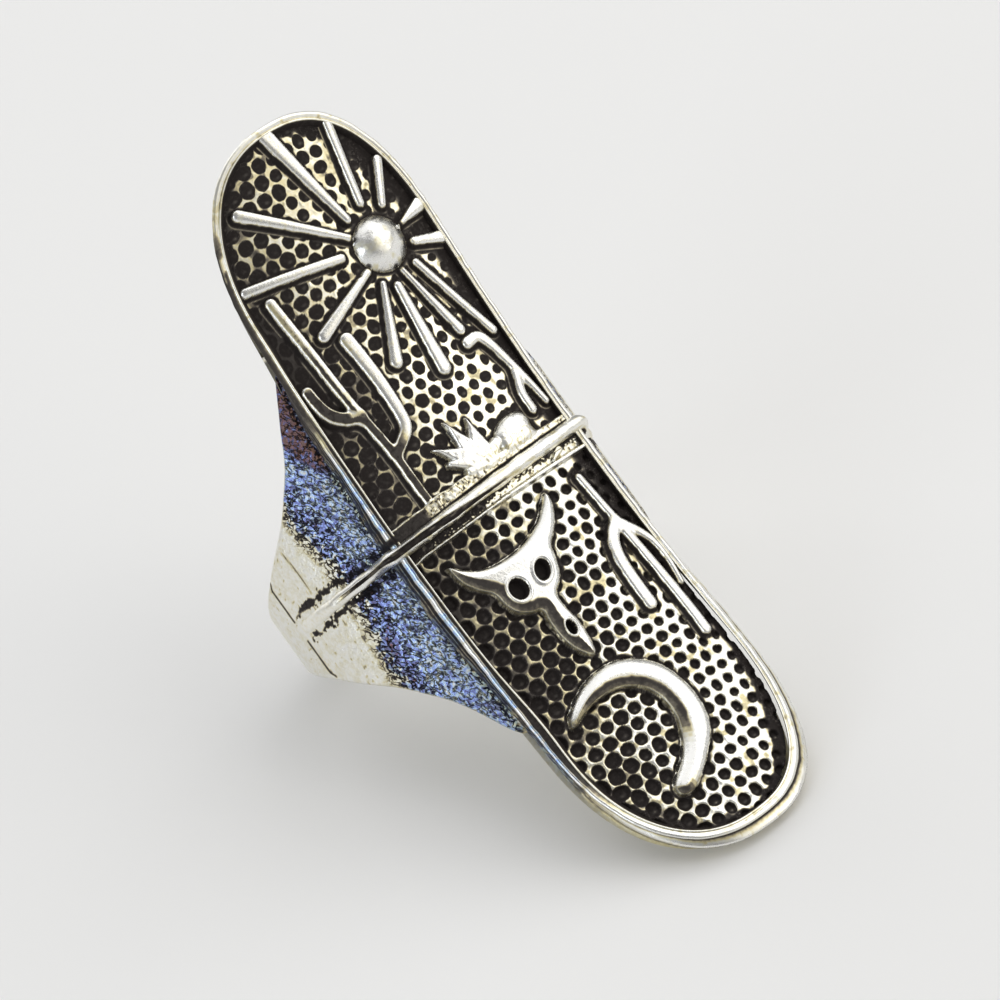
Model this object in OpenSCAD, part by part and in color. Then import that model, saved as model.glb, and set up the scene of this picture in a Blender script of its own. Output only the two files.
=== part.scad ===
/* [Finger hole and band] */
// diameter of the hole for the finger, mm
bore_d = 17.3; // [15:0.1:22]
// thickness of the band and its wings, mm
band_t = 1.1; // [0.8:0.05:2]
// half the width of the band at its back, mm
back_half = 1.5; // [1:0.1:4]
// depth worn flat on the back of the band, mm
back_flat = 0.12; // [0:0.02:0.4]

/* [Plaque] */
// length of the plaque inside its foot, mm
plaque_l = 43.1; // [30:0.1:55]
// width of the plaque across the finger, mm
plaque_w = 12.5; // [8:0.1:20]
// length of each rounded end, mm
end_l = 9.0; // [5:0.1:14]
// squareness of the rounded ends, 2 is an ellipse
end_power = 2.4; // [2:0.1:4]
// height of the rim above the axis of the hole at mid length, mm
plaque_top = 10.4; // [9.8:0.05:13]
// radius of the arch across the finger, mm
arch_r = 22; // [10:0.5:40]
// radius of the upward bow along the finger, mm
bow_r = 80; // [40:5:300]
// thickness from the top of the rim to the underside, mm
plate_t = 1.45; // [1:0.05:3]
// width of the rim, mm
rim_w = 0.5; // [0.3:0.05:1]
// height of the rim above the sunk floor, mm
rim_h = 0.45; // [0.2:0.05:0.8]
// depth of the foot of the edge below the rim, mm
foot_drop = 0.6; // [0.3:0.05:1]
// how far the foot stands out at the sides, mm
foot_side = 0.12; // [0:0.02:0.5]
// how far the foot stands out at the moon end, mm
foot_moon = 0.6; // [0:0.05:1]
// how far the foot stands out at the sun end, mm
foot_sun = 0.12; // [0:0.02:0.6]

/* [Crossbar] */
// half the width of the plain field between the two panels, mm
field_half = 0.8; // [0.5:0.05:1.5]
// centre of that field from mid length, mm
field_at = -0.25; // [-1:0.05:1]
// height of the main ridge above the rim, mm
ridge_up = 0.28; // [0.1:0.02:0.6]
// height of the ridges above the band, mm
ridge_band = 0.32; // [0.1:0.02:0.6]
// how far the main ridge stands out at the plaque's edges, mm
ridge_out = 0.45; // [0.1:0.05:1]

/* [Raised figures] */
// top of the figures below the top of the rim, mm
figure_drop = 0.08; // [0:0.02:0.3]
// radius of the sun where it meets the floor, mm
sun_r = 1.48; // [0.8:0.05:2.5]
// height of the sun above the floor, mm
sun_h = 0.95; // [0.4:0.05:1.4]

/* [Hidden] */
band_r = bore_d / 2 + band_t;
sides = 96;

// rays of the sun: [inner across, inner along, outer across, outer along, inner width, outer width]
ray_rows = [
    [1.45, 15.4, -0.3, 20.95, 0.42, 0.8],
    [2.6, 15.78, 3.35, 19.9, 0.42, 0.5],
    [3.68, 15.18, 4.85, 17.1, 0.4, 0.5],
    [4.0, 13.8, 5.45, 14.2, 0.2, 0.7],
    [4.17, 12.72, 5.6, 12.25, 0.42, 0.6],
    [3.57, 11.75, 5.3, 6.75, 0.3, 0.42],
    [2.63, 11.83, 3.6, 7.65, 0.25, 0.5],
    [1.92, 11.2, 1.47, 6.45, 0.46, 0.8],
    [1.23, 11.68, -0.55, 8.0, 0.34, 0.7],
    [0.85, 12.6, -3.05, 11.1, 0.4, 0.68],
    [0.0, 13.9, -5.2, 15.07, 0.42, 0.5],
    [1.0, 14.55, -3.6, 18.45, 0.36, 0.62]
];

// middle lines of the cacti: points [across, along] from root to tip, width at root, width at tip
cactus_rows = [
    [[[-3.32, 1.1], [-3.35, 3.8], [-3.72, 6.8], [-4.07, 10.5], [-4.47, 13.9]], 0.5, 0.62],
    [[[-3.8, 6.75], [-4.35, 6.95], [-4.85, 7.35], [-5.15, 8.1], [-5.2, 9.2]], 0.75, 0.6],
    [[[-3.25, 4.1], [-2.6, 4.5], [-2.1, 4.85], [-1.88, 5.5], [-1.85, 7.6], [-2.12, 10.3]], 0.6, 0.78],
    [[[5.45, 2.2], [5.25, 3.6], [4.93, 5.1], [4.65, 6.2], [4.3, 6.95], [3.5, 6.85]], 0.36, 0.6],
    [[[4.5, 2.2], [4.5, 3.1], [4.7, 3.65], [4.95, 4.2]], 0.5, 0.5],
    [[[4.35, -2.1], [4.57, -4.5], [4.73, -6.5], [4.88, -10.7], [4.8, -12.2]], 0.42, 0.62],
    [[[4.5, -5.2], [3.95, -5.42], [3.5, -5.95], [3.22, -6.8], [3.15, -8.2], [3.05, -9.5]], 0.6, 0.74],
    [[[4.85, -5.4], [5.3, -6.1], [5.5, -7.0], [5.5, -8.3], [5.4, -9.5]], 0.5, 0.3]
];

// outline of the agave: [across, along]
agave_rows = [
    [-1.2, 1.0], [-1.15, 2.0], [-1.65, 3.2], [-0.95, 2.95], [-0.5, 3.05], [-0.25, 4.15],
    [0.15, 3.65], [0.6, 3.15], [0.93, 3.8], [1.2, 3.0], [1.6, 2.35], [1.6, 1.0]
];

// outline of the boulder beside it: [across, along]
boulder_rows = [
    [1.4, 1.1], [1.5, 2.15], [2.05, 2.47], [2.75, 2.62], [3.55, 2.58], [3.95, 2.35],
    [4.0, 1.9], [3.9, 1.4], [4.1, 1.1]
];

// outline of the cow skull: [across, along]
skull_rows = [
    [-4.47, -2.05], [-3.93, -2.58], [-3.27, -3.08], [-2.43, -3.37], [-1.6, -3.5],
    [-0.77, -3.53], [0.07, -3.37], [0.73, -3.03], [1.4, -2.53], [2.23, -1.7],
    [2.3, -2.2], [1.9, -2.92], [1.32, -3.5], [0.73, -4.0], [0.48, -4.5],
    [0.27, -5.42], [-0.3, -6.05], [-0.85, -6.2], [-0.85, -6.67], [-0.63, -8.17],
    [-0.68, -9.0], [-1.1, -10.08], [-1.62, -9.5], [-1.9, -9.0], [-2.03, -8.17],
    [-1.78, -6.5], [-2.3, -6.42], [-3.0, -5.95], [-3.22, -5.25], [-3.25, -4.5],
    [-4.0, -3.67], [-4.5, -2.5]
];

// outline of the crescent moon: [across, along]
moon_rows = [
    [-4.47, -12.33], [-3.43, -11.33], [-2.6, -10.92], [-1.6, -10.75], [-0.77, -10.8],
    [0.07, -11.08], [0.73, -11.58], [1.32, -12.33], [1.65, -13.17], [1.82, -14.0],
    [1.73, -15.0], [1.4, -16.0], [0.9, -16.75], [0.23, -17.42], [-0.6, -17.92],
    [-1.6, -18.25], [-2.52, -18.37], [-2.6, -18.0], [-1.77, -17.5], [-0.93, -16.83],
    [-0.35, -16.17], [-0.02, -15.33], [0.15, -14.33], [0.03, -13.33], [-0.35, -12.67],
    [-0.93, -12.25], [-1.6, -12.08], [-3.27, -12.17]
];

// height of the arched and bowed plaque over the axis of the hole
function plaque_z(across, along, drop) =
    let (mid = plaque_top + bow_r)
    let (reach = bow_r + arch_r - sqrt(pow(arch_r - drop, 2) - across * across))
    mid - sqrt(reach * reach - along * along);

// one corner of the plaque's outline, with each end grown by its own amount
function outline_point(turn, grow, sun_grow, moon_grow) =
    let (side = plaque_w / 2 + grow, run = end_l + grow, k = 2 / end_power)
    let (c = cos(turn), s = sin(turn))
    let (reach = plaque_l / 2 - end_l + (s < 0 ? moon_grow : sun_grow))
    [
        side * sign(c) * pow(abs(c), k),
        (s < 0 ? -1 : 1) * (reach + run * pow(abs(s), k))
    ];

function outline_points(grow, sun_grow, moon_grow) =
    [for (i = [0 : sides - 1])
        outline_point((i + 0.5) * 360 / sides, grow, sun_grow, moon_grow)];

module outline(grow, sun_grow, moon_grow) {
    polygon(outline_points(grow, sun_grow, moon_grow));
}

// solid between two depths of the arched and bowed plaque
module sheet(top_drop, low_drop) {
    translate([0, 0, plaque_top + bow_r])
        rotate([0, 90, 0])
            rotate_extrude(angle = 36, start = -18, $fn = 240)
                intersection() {
                    translate([bow_r + arch_r, 0])
                        difference() {
                            circle(arch_r - top_drop, $fn = 180);
                            circle(arch_r - low_drop, $fn = 180);
                        }
                    translate([bow_r - 3, -8])
                        square([14, 16]);
                }
}

// flat shape raised or sunk between two depths of the plaque
module stamp(top_drop, low_drop) {
    intersection() {
        sheet(top_drop, low_drop);
        translate([0, 0, 2])
            linear_extrude(16)
                children();
    }
}

function way(line, i) =
    let (a = line[max(i - 1, 0)], b = line[min(i + 1, len(line) - 1)])
    (b - a) / norm(b - a);

// rounded tip of a line of width w that heads along d
function tip(p, d, w) =
    [for (turn = [60, 20, -20, -60])
        p + w / 2 * (d * cos(turn) + [-d[1], d[0]] * sin(turn))];

// outline of a line of width w_in at its start and w_out at its end
function line_outline(line, w_in, w_out) =
    let (n = len(line))
    let (wide = [for (i = [0 : n - 1]) w_in + (w_out - w_in) * i / (n - 1)])
    let (side = [for (i = [0 : n - 1]) let (d = way(line, i)) [-d[1], d[0]] * wide[i] / 2])
    concat(
        [for (i = [0 : n - 1]) line[i] + side[i]],
        tip(line[n - 1], way(line, n - 1), w_out),
        [for (i = [n - 1 : -1 : 0]) line[i] - side[i]],
        tip(line[0], -way(line, 0), w_in)
    );

// plaque with its foot, before the two panels are sunk
module plaque() {
    stamp(0, plate_t)
        outline(0, 0, 0);
    stamp(foot_drop, plate_t)
        outline(foot_side, foot_sun - foot_side, foot_moon - foot_side);
}

// floor of both panels, sunk below the rim
module panels() {
    stamp(-1.5, rim_h)
        difference() {
            outline(-rim_w, 0, 0);
            translate([-10, field_at - field_half])
                square([20, 2 * field_half]);
        }
}

// band that narrows from the wings to the back of the finger
module shank() {
    difference() {
        intersection() {
            union() {
                rotate([90, 0, 0])
                    cylinder(r = band_r, h = 26, center = true, $fn = 180);
                stamp(foot_drop, 6)
                    square([plaque_w, 26], center = true);
                for (side = [-1, 1])
                    scale([side, 1, 1])
                        rotate([90, 0, 0])
                            linear_extrude(26, center = true)
                                polygon([[4, 6.5], [7.35, 6.4], [6.32, 8.35], [4, 8.35]]);
            }
            wing_profile();
        }
        translate([-10, -30, -band_r - 1])
            cube([20, 60, 1 + back_flat]);
    }
}

// the wings and band seen from the side
module wing_profile() {
    half_rows = [
        [12.0, 9.9], [11.9, 8.7], [11.4, 8.1], [10.3, 7.75], [9.4, 7.4],
        [8.6, 7.0], [7.9, 6.55], [7.1, 6.05], [6.2, 5.2], [5.1, 4.0],
        [4.0, 2.35], [3.0, 0.4], [2.2, -1.6], [1.75, -3.5]
    ];
    n = len(half_rows);
    rotate([90, 0, 90])
        linear_extrude(30, center = true)
            polygon(concat(
                half_rows,
                [[back_half, -6], [back_half, -12], [-back_half, -12], [-back_half, -6]],
                [for (i = [0 : n - 1]) [-half_rows[n - 1 - i][0], half_rows[n - 1 - i][1]]]
            ));
}

// one ridge that runs over the plaque and down both wings
module ridge(at, half, up, out, band_up) {
    rotate([90, 0, 0])
        translate([0, 0, -at - half])
            linear_extrude(2 * half)
                difference() {
                    union() {
                        intersection() {
                            translate([0, plaque_top - arch_r])
                                circle(arch_r + up, $fn = 180);
                            translate([-plaque_w / 2 - out, 6.2])
                                square([plaque_w + 2 * out, 6]);
                        }
                        intersection() {
                            circle(band_r + band_up, $fn = 180);
                            translate([-12, 0.6])
                                square([24, 8]);
                        }
                    }
                    circle(bore_d / 2 + band_t / 2, $fn = 120);
                }
}

module crossbar() {
    ridge(0.12, 0.36, ridge_up, ridge_out, ridge_band);
    ridge(-0.55, 0.22, 0.06, 0.2, ridge_band * 0.8);
}

// low dome of the sun, sunk a little into the floor
module sun() {
    ball = (sun_r * sun_r + sun_h * sun_h) / (2 * sun_h);
    floor_z = plaque_z(2.4, 13.52, rim_h);
    intersection() {
        translate([2.4, 13.52, floor_z + sun_h - ball])
            sphere(ball, $fn = 48);
        translate([0, 11, floor_z - 0.4])
            cube([5, 5, 3]);
    }
}

// flat shapes of all the figures that stand on the two floors
module figures() {
    for (r = ray_rows)
        polygon(line_outline([[r[0], r[1]], [r[2], r[3]]], r[4], r[5]));
    for (r = cactus_rows)
        polygon(line_outline(r[0], r[1], r[2]));
    translate([-5.7, 0.4])
        square([11.4, 0.65]);
    polygon(agave_rows);
    polygon(boulder_rows);
    difference() {
        polygon(skull_rows);
        translate([-2.23, -5.03])
            circle(0.55, $fn = 24);
        translate([-0.63, -4.95])
            circle(0.5, $fn = 24);
        translate([-1.27, -8.13])
            circle(0.3, $fn = 24);
    }
    polygon(moon_rows);
}

// the whole casting, hole axis along Y, face up
module casting() {
    difference() {
        union() {
            difference() {
                plaque();
                panels();
            }
            stamp(figure_drop, rim_h + 0.2)
                figures();
            sun();
            crossbar();
            shank();
        }
        rotate([90, 0, 0])
            cylinder(d = bore_d, h = 70, center = true, $fn = 180);
    }
}

// it rests on the moon end of the plaque and on the back of the band
back_z = -band_r + back_flat;
foot_points = outline_points(foot_side, foot_sun - foot_side, foot_moon - foot_side);
lean = min([for (p = foot_points) if (p[1] < -14)
    atan2(plaque_z(p[0], p[1], plate_t) - back_z, -p[1] - back_half)]);
lift = back_half * sin(lean) - back_z * cos(lean);
far_y = back_half * cos(lean) - back_z * sin(lean);
near_y = min([for (p = foot_points)
    p[1] * cos(lean) - plaque_z(p[0], p[1], foot_drop) * sin(lean)]);

module ring() {
    color("silver")
        translate([0, -(far_y + near_y) / 2, lift])
            rotate([lean, 0, 0])
                casting();
}

echo(lean = lean, lift = lift, middle_y = -(far_y + near_y) / 2);

ring();
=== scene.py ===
import math

import bpy
import numpy as np
from mathutils import Matrix, Vector


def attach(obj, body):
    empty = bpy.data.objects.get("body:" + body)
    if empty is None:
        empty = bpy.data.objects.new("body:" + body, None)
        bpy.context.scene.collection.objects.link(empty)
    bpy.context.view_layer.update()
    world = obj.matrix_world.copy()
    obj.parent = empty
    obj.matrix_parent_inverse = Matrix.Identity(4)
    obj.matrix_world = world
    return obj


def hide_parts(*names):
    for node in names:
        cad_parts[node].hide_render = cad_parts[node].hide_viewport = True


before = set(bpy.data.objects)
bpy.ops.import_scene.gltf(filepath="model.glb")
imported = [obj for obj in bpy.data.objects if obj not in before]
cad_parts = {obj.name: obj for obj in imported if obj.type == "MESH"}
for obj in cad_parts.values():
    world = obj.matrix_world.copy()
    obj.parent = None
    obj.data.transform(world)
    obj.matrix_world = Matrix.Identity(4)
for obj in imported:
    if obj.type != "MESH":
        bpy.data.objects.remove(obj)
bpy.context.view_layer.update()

# Upper panel
# The sunk half of the plaque towards its sun end, cast in white metal in one with all the rest.
# A sun with rays, two saguaros, an agave, a boulder and a strip of ground stand up from a floor of
# punched pits. The casting was blackened and polished again, so all that is sunk stays black.

# Sizes are mm in the casting's own frame: x across the plaque, y along it with the sun end positive,
# z out of its face, from the finger's axis. The plaque is arched across the finger and bowed along it.
PLAQUE_TOP = 10.4
ARCH_R = 22.0
BOW_R = 80.0
# outline: half width, middle to the round end, run of the round end, and its fullness (2 is an ellipse)
HALF_W = 6.235
END_REACH = 12.55
END_RUN = 8.97
END_POWER = 2.4
# width of the rim, and the panels' floor below the top of the rim
RIM_W = 0.5
FLOOR = -0.45
# how the casting lies on the floor: its lean, and where its own origin then is
LEAN = math.radians(46.35337)
LIFT = 7.7321
MIDDLE_Y = 8.3077
# sun: its middle across and along, its radius and rise
SUN = (2.4, 13.52)
SUN_R, SUN_RISE = 1.5, 0.8
# each ray: inner across, inner along, outer across, outer along, inner width, outer width
RAYS = (
    (1.45, 15.4, -0.22, 21.3, 0.42, 0.85),
    (2.6, 15.78, 3.35, 20.1, 0.46, 0.56),
    (3.68, 15.18, 4.85, 17.2, 0.46, 0.56),
    (3.92, 13.8, 5.65, 14.22, 0.16, 0.78),
    (4.17, 12.72, 5.85, 12.2, 0.46, 0.68),
    (3.57, 11.75, 5.3, 6.75, 0.4, 0.48),
    (2.63, 11.83, 3.6, 7.65, 0.26, 0.56),
    (1.92, 11.2, 1.55, 6.45, 0.48, 0.76),
    (1.23, 11.68, -0.5, 8.0, 0.36, 0.68),
    (0.85, 12.6, -3.0, 11.1, 0.4, 0.66),
    (0.0, 13.9, -5.25, 15.08, 0.48, 0.52),
    (1.0, 14.55, -3.55, 18.45, 0.36, 0.62),
)
# middle lines of the saguaros, across and along, then the width at root and tip
UPPER_CACTI = (
    (((-3.32, 1.2), (-3.35, 2.3), (-3.35, 3.8), (-3.45, 5.0), (-3.72, 6.8), (-3.9, 8.5), (-4.07, 10.5),
      (-4.3, 12.5), (-4.47, 13.9)), 0.5, 0.62),
    (((-3.8, 6.75), (-4.35, 6.95), (-4.85, 7.35), (-5.2, 8.1), (-5.3, 9.2)), 0.75, 0.6),
    (((-3.25, 4.1), (-2.6, 4.5), (-2.1, 4.85), (-1.88, 5.5), (-1.85, 7.6), (-1.97, 9.1), (-2.12, 10.3)),
     0.6, 0.78),
    (((5.53, 2.2), (5.3, 3.6), (4.93, 5.1), (4.65, 6.2), (4.3, 6.95), (3.5, 6.85)), 0.36, 0.62),
    (((4.5, 2.2), (4.5, 3.1), (4.7, 3.65), (4.95, 4.2)), 0.5, 0.5),
)
# leaves of the agave: root across, root along, tip across, tip along, root width, tip width
AGAVE = (
    (0.1, 1.6, -1.6, 3.22, 1.45, 0.1),
    (0.1, 1.5, -1.3, 2.12, 1.2, 0.4),
    (0.2, 1.6, -0.27, 4.1, 1.5, 0.08),
    (0.55, 1.5, 0.9, 3.7, 1.55, 0.08),
    (0.6, 1.3, 1.55, 1.75, 1.1, 0.7),
    (-0.6, 1.25, 1.6, 1.0, 0.6, 0.6),
)
# outline of the boulder: across and along
BOULDER = (
    (1.4, 0.7), (1.5, 1.6), (1.7, 2.2), (2.4, 2.6), (3.28, 2.68), (3.88, 2.46), (4.02, 2.0), (3.84, 1.4),
    (4.2, 0.9), (3.0, 0.7),
)
# punched pits: pitch across, and from row to row
PIT_PITCH, PIT_ROW = 0.86, 0.745
# points of half a panel along and across
PANEL_ROWS, PANEL_COLS = 300, 280
# rays and saguaros stop just under the top of the rim
STROKE_TOP = -0.03


def place(x, y, z):
    """The casting's own frame in mm to the part's frame in metres: it leans on its moon end."""
    c, s = math.cos(LEAN), math.sin(LEAN)
    return np.stack([x, y * c - z * s + MIDDLE_Y, y * s + z * c + LIFT], -1) / 1000


def plaque_z(x, y, up):
    """Height of the plaque's face over the finger's axis, with up measured from the top of the rim."""
    reach = BOW_R + ARCH_R - np.sqrt((ARCH_R + up) ** 2 - x * x)
    return PLAQUE_TOP + BOW_R - np.sqrt(reach**2 - y * y)


def soft(x, low, high):
    """Smooth step from 0 at low to 1 at high."""
    t = np.clip((x - low) / (high - low), 0, 1)
    return t * t * (3 - 2 * t)


def noise(x, y, cell, seed):
    """Smooth random field of cell size mm, from about 0 to 1."""
    side = 257
    table = np.random.default_rng(seed).random((side, side))
    gx, gy = x / cell + 100, y / cell + 100
    ix, iy = np.floor(gx).astype(int), np.floor(gy).astype(int)
    fx, fy = soft(gx - ix, 0, 1), soft(gy - iy, 0, 1)
    a, b, c, d = (table[(ix + i) % side, (iy + j) % side] for j in (0, 1) for i in (0, 1))
    return (a * (1 - fx) + b * fx) * (1 - fy) + (c * (1 - fx) + d * fx) * fy


def segment_gap(x, y, a, b):
    """Nearest point of the segment from a to b: its share of the way, its distance, the segment's length."""
    run = max(np.hypot(*(b - a)), 1e-6)
    t = np.clip(((x - a[0]) * (b[0] - a[0]) + (y - a[1]) * (b[1] - a[1])) / run**2, 0, 1)
    return t, np.hypot(x - a[0] - t * (b[0] - a[0]), y - a[1] - t * (b[1] - a[1])), run


def line_distance(x, y, line, start_w, end_w):
    """Distance to a bent line, less its half width there, which runs from start_w to end_w."""
    pts = np.asarray(line, float)
    total = np.hypot(*np.diff(pts, axis=0).T).sum()
    best = np.full(x.shape, 99.0)
    done = 0.0
    for a, b in zip(pts[:-1], pts[1:]):
        t, gap, run = segment_gap(x, y, a, b)
        width = start_w + (end_w - start_w) * (done + t * run) / total
        best = np.minimum(best, gap - width / 2)
        done += run
    return best


def outline_distance(x, y, outline):
    """Distance to a closed outline, negative inside it."""
    pts = np.asarray(outline, float)
    best = np.full(x.shape, 99.0)
    inside = np.zeros(x.shape, bool)
    for a, b in zip(pts, np.roll(pts, -1, axis=0)):
        best = np.minimum(best, segment_gap(x, y, a, b)[1])
        if a[1] != b[1]:
            crossing = (a[1] > y) != (b[1] > y)
            inside ^= crossing & (x < (b[0] - a[0]) * (y - a[1]) / (b[1] - a[1]) + a[0])
    return np.where(inside, -best, best)


def rounded(line, closed=False):
    """Rounds the corners of a bent line or an outline by cutting each of them twice."""
    pts = np.asarray(line, float)
    for step in range(2):
        after = np.roll(pts, -1, axis=0) if closed else pts[1:]
        before = pts if closed else pts[:-1]
        cut = np.stack([before * 0.75 + after * 0.25, before * 0.25 + after * 0.75], 1).reshape(-1, 2)
        pts = cut if closed else np.concatenate([pts[:1], cut, pts[-1:]])
    return pts


def joined(gaps, fillet=0.25):
    """Distance to several shapes at once, with fillets where they meet."""
    best = gaps[0]
    for gap in gaps[1:]:
        h = np.clip(0.5 + 0.5 * (gap - best) / fillet, 0, 1)
        best = gap * (1 - h) + best * h - fillet * h * (1 - h)
    return best


def shaded_side(gap, x, y):
    """1 where a flank faces left and towards the moon end, 0 where it faces away from there."""
    slope_x = np.gradient(gap, axis=1) / np.maximum(np.gradient(x, axis=1), 1e-4)
    slope_y = (np.gradient(gap, axis=0) - slope_x * np.gradient(x, axis=0)) / np.gradient(y, axis=0)
    return soft(-0.75 * slope_x - 0.65 * slope_y, 0.1, 0.55)


def add_stroke(x, y, height, shine, gap, top_shade=0.0):
    """Raises a round-topped bar where gap is negative.

    Its flanks are painted dark, the shaded one wide, as painted shade; the top of a bar can be given painted
    shade too; and a painted highlight runs as a thin bright line along the foot of the shaded flank.
    """
    shaded = shaded_side(gap, x, y)
    bulge = np.sqrt(1 - (1 - np.clip(-gap / 0.3, 0, 1)) ** 2)
    flank = np.where(shaded > 0.5, 0.2, 0.06)
    shoulder = STROKE_TOP - 0.15
    level = np.where(gap < 0, shoulder + 0.15 * bulge,
                     FLOOR + (shoulder - FLOOR) * (1 - np.clip(gap / flank, 0, 1)))
    ragged = 0.05 * (noise(x, y, 0.3, 77) - 0.5)
    paint = 1 - soft(gap + ragged, -0.02, 0.04)
    # painted shade on the top: darker on its shaded half, and all across on the low trunk and the left arm
    shaded_whole_top = np.maximum(soft(y, 7.2, 6.4), soft(-x, 4.0, 4.3) * soft(y, 9.6, 9.0))
    painted_top_shade = (0.12 + 0.88 * np.maximum(shaded, shaded_whole_top)) * soft(gap + ragged, -0.06, -0.13)
    paint = paint * (1 - 0.74 * top_shade * painted_top_shade)
    paint = paint - 0.16 * soft(noise(x, y, 0.14, 80), 0.6, 0.85)
    # painted highlight: a thin bright line, in places, along the foot of the shaded flank
    foot = np.exp(-(((gap - 0.22) / 0.045) ** 2)) * shaded * soft(noise(x, y, 0.6, 78), 0.2, 0.45)
    near = gap < flank + 0.02
    height = np.where(near, np.maximum(height, level), height)
    shine = np.where(near, paint, shine)
    return height, np.maximum(shine, 0.6 * foot)


def half_width(y, grow):
    """Half width of the plaque's outline at y, with the outline grown all round."""
    t = np.clip((np.abs(y) - END_REACH) / (END_RUN + grow), 0, 1)
    return (HALF_W + grow) * (1 - t**END_POWER) ** (1 / END_POWER)


def pit_spots(low_y, high_y, seed):
    """Places of the punched pits: a loose honeycomb, a little wider spaced towards the left."""
    rng = np.random.default_rng(seed)
    spots = []
    for row, py in enumerate(np.arange(low_y, high_y, PIT_ROW)):
        half = float(half_width(py, -RIM_W)) - 0.1
        start = -half + (row % 2) * PIT_PITCH / 2
        spots += [(px + rng.uniform(-0.17, 0.17), py + rng.uniform(-0.15, 0.15))
                  for px in np.arange(start, half, PIT_PITCH)]
    spots = np.array(spots)
    # neighbours that sit too close are pushed apart, a little at a time
    for turn in range(30):
        gap = spots[:, None] - spots[None]
        size = np.hypot(gap[..., 0], gap[..., 1]) + np.eye(len(spots)) * 9
        want = 0.87 - 0.014 * (spots[:, None, 0] + spots[None, :, 0]) / 2
        push = np.clip(want - size, 0, None) / size * 0.3
        spots = spots + (gap * push[..., None]).sum(1)
    return spots


def pit_field(x, y, rows, spots, seed):
    """Each point's distance to its nearest pit over the pit's radius, and a glint low in each pit."""
    rng = np.random.default_rng(seed)
    ratio = np.full(x.shape, 9.0)
    glint = np.zeros(x.shape)
    for qx, qy in spots:
        radius = (0.33 - 0.016 * qx) * rng.uniform(0.85, 1.1)
        squeeze = rng.uniform(0.9, 1.1)
        sparkle = rng.uniform(0.0, 1.0)
        low, high = np.searchsorted(rows, (qy - 0.7, qy + 0.7))
        part = slice(low, high)
        dx, dy = x[part] - qx, y[part] - qy
        ratio[part] = np.minimum(ratio[part], np.hypot(dx * squeeze, dy / squeeze) / radius)
        spot = np.exp(-((dx - 0.05) ** 2) / 0.016 - (dy + 0.14) ** 2 / 0.006)
        glint[part] = np.maximum(glint[part], spot * sparkle)
    return ratio, glint


def panel_grid(sign, part, start):
    """Grid over half of a panel: its straight part from start, or its round end."""
    lap = 0.04
    run, side = END_RUN - RIM_W + lap, HALF_W - RIM_W + lap
    if part == "straight":
        y = np.linspace(start, END_REACH, PANEL_ROWS)
        half = np.full(PANEL_ROWS, side)
    else:
        turn = np.radians(np.linspace(0, 90, PANEL_ROWS))
        y = END_REACH + run * np.sin(turn) ** (2 / END_POWER)
        half = side * np.cos(turn) ** (2 / END_POWER)
    if sign < 0:
        y, half = -y[::-1], half[::-1]
    x = half[:, None] * np.linspace(-1, 1, PANEL_COLS)
    return x, np.repeat(y[:, None], PANEL_COLS, axis=1), y


def sunk_ground(x, y, rows, spots, gap_all, seed, web_shade):
    """The pitted ground of a panel: pits, bright webs between them, black beside all that stands up.

    Where it is shaded the webs are painted thinner and darker, as painted shade.
    """
    ratio, glint = pit_field(x, y, rows, spots, seed)
    ratio = ratio + 0.16 * (noise(x, y, 0.2, seed + 4) - 0.5)
    wash = noise(x, y, 0.9, seed + 1) * 0.55 + noise(x, y, 0.3, seed + 2) * 0.45
    past = np.clip((np.abs(y) - END_REACH) / (END_RUN - RIM_W), 0, 1)
    border = (1 - np.hypot(x / (HALF_W - RIM_W), past)) * 5.5
    border = np.where(past > 0, border, HALF_W - RIM_W - np.abs(x))
    right = soft(x, 1.5, 5.0)
    shine = soft(ratio - 0.11 * web_shade, 0.98, 1.12)
    right *= 0.35 + 0.65 * soft(y, -14, -5)
    shine *= soft(border + 0.5 * (wash - 0.5), 0.05 + 0.55 * right, 0.2 + 0.85 * right)
    shine *= soft(gap_all + 0.35 * (wash - 0.5) - 0.2 * right, 0.1, 0.28)
    # painted shade: the webs darker towards the left, more in some patches
    left = soft(-x, 1.8, 4.4)
    shine *= 1 - (0.12 + 0.35 * soft(wash, 0.45, 0.65)) * left
    shine *= 1 - 0.3 * soft(wash, 0.64, 0.74)
    fine = noise(x, y, 0.16, seed + 5) * 0.6 + noise(x, y, 0.07, seed + 6) * 0.4
    scratches = 0.42 * np.exp(-(((fine - 0.55) / 0.03) ** 2)) * soft(noise(x, y, 0.5, seed + 7), 0.3, 0.6)
    shine = np.maximum(shine, scratches * (ratio > 0.9))
    shine = np.maximum(shine, 0.5 * glint * (ratio < 0.95))
    height = FLOOR - 0.04 + 0.04 * soft(ratio, 1.0, 1.3) - 0.2 * (1 - soft(ratio, 0.62, 1.06))
    height += 0.05 * (noise(x, y, 0.2, seed + 3) - 0.5)
    height -= 0.06 * (1 - soft(gap_all, 0.1, 0.3))
    return height, np.clip(shine, 0, 1), wash


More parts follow.
